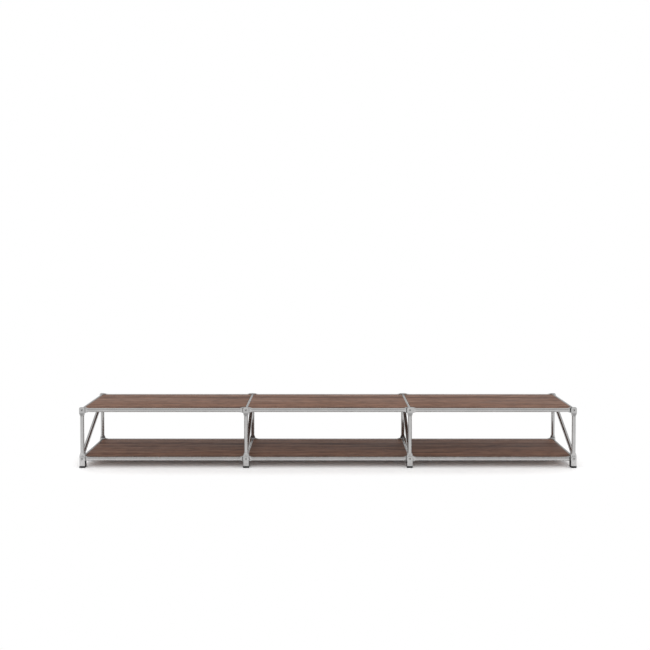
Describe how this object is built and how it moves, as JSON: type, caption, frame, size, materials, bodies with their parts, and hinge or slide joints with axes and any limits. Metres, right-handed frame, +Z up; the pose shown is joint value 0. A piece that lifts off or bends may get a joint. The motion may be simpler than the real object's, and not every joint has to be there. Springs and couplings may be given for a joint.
{
  "type": "lowboard",
  "caption": "Long low media board: round steel tube frame with flattened, bolted tube ends, a slanting brace in each cross frame, walnut boards above and below, and black block feet",
  "frame": {"origin": "centre of the footprint, on the floor", "axes": "X along the board to the right as seen from the front, Y from front to rear, Z up"},
  "size_m": [2.7318, 0.423, 0.3349],
  "materials": {
    "tube_steel": "satin, fine drawn grain",
    "plate_steel": "satin",
    "bolt_steel": "satin, dark socket",
    "board_veneer": "matt oiled walnut veneer",
    "foot_block": "matt black"
  },
  "bodies": {
    "frame": {"rail_lower_front_1": "tube_steel", "rail_lower_front_2": "tube_steel", "rail_lower_front_3": "tube_steel", "rail_lower_rear_1": "tube_steel", "rail_lower_rear_2": "tube_steel", "rail_lower_rear_3": "tube_steel", "rail_upper_front_1": "tube_steel", "rail_upper_front_2": "tube_steel", "rail_upper_front_3": "tube_steel", "rail_upper_rear_1": "tube_steel", "rail_upper_rear_2": "tube_steel", "rail_upper_rear_3": "tube_steel", "upright_front_1": "tube_steel", "upright_front_2": "tube_steel", "upright_front_3": "tube_steel", "upright_front_4": "tube_steel", "upright_rear_1": "tube_steel", "upright_rear_2": "tube_steel", "upright_rear_3": "tube_steel", "upright_rear_4": "tube_steel", "cross_tube_lower_1": "tube_steel", "cross_tube_lower_2": "tube_steel", "cross_tube_lower_3": "tube_steel", "cross_tube_lower_4": "tube_steel", "cross_tube_upper_1": "tube_steel", "cross_tube_upper_2": "tube_steel", "cross_tube_upper_3": "tube_steel", "cross_tube_upper_4": "tube_steel", "brace_1": "tube_steel", "brace_2": "tube_steel", "brace_3": "tube_steel", "brace_4": "tube_steel", "foot_plate_front_1": "plate_steel", "foot_plate_front_2": "plate_steel", "foot_plate_front_3": "plate_steel", "foot_plate_front_4": "plate_steel", "foot_plate_rear_1": "plate_steel", "foot_plate_rear_2": "plate_steel", "foot_plate_rear_3": "plate_steel", "foot_plate_rear_4": "plate_steel", "lower_node_bolts": "bolt_steel", "upper_node_bolts": "bolt_steel", "rail_spacers": "bolt_steel", "board_lower_1": "board_veneer", "board_lower_2": "board_veneer", "board_lower_3": "board_veneer", "foot_block_front_1": "foot_block", "foot_block_front_2": "foot_block", "foot_block_front_3": "foot_block", "foot_block_front_4": "foot_block", "foot_block_rear_1": "foot_block", "foot_block_rear_2": "foot_block", "foot_block_rear_3": "foot_block", "foot_block_rear_4": "foot_block"},
    "upper_board_left": {"board_upper_1": "board_veneer"},
    "upper_board_middle": {"board_upper_2": "board_veneer"},
    "upper_board_right": {"board_upper_3": "board_veneer"}
  },
  "joints": [
    {"name": "upper_board_left_lift", "type": "slide", "parent": "frame", "child": "upper_board_left", "axis": [0, 0, 1], "range_m": [0, 0.06]},
    {"name": "upper_board_middle_lift", "type": "slide", "parent": "frame", "child": "upper_board_middle", "axis": [0, 0, 1], "range_m": [0, 0.06]},
    {"name": "upper_board_right_lift", "type": "slide", "parent": "frame", "child": "upper_board_right", "axis": [0, 0, 1], "range_m": [0, 0.06]}
  ]
}
